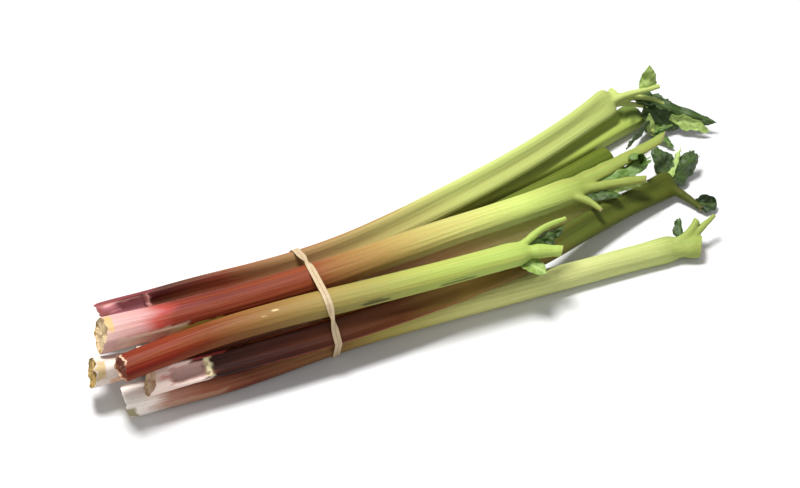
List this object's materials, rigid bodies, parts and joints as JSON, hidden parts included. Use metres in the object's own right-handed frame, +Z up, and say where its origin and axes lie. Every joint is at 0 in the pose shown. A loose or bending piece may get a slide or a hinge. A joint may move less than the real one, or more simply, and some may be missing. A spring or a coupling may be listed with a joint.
{
  "type": "tied bunch of rhubarb stalks",
  "caption": "Bunch of trimmed rhubarb stalks with scraps of leaf at their ends, held by a twisted cream rubber band.",
  "frame": {"origin": "under the middle of the bunch's box, on the surface that the bunch lies on", "axes": "+X along the stalks from the cut butts to the leaf ends, +Z up from the surface, +Y to the side away from the camera of the picture"},
  "size_m": [0.5266, 0.1698, 0.0556],
  "materials": {
    "maroon_stalk": "semi-gloss plant skin",
    "red_stalk": "semi-gloss plant skin",
    "dark_stalk": "semi-gloss plant skin",
    "olive_stalk": "semi-gloss plant skin",
    "green_stalk": "semi-gloss plant skin",
    "band": "matte"
  },
  "bodies": {
    "root": {"stalk_back_top": "maroon_stalk", "stalk_middle_top": "red_stalk", "stalk_front_top": "red_stalk", "stalk_core": "dark_stalk", "stalk_front_side": "maroon_stalk", "stalk_front_floor": "olive_stalk", "stalk_back_floor": "green_stalk", "stalk_middle_floor": "green_stalk", "rubber_band": "band"}
  },
  "joints": []
}
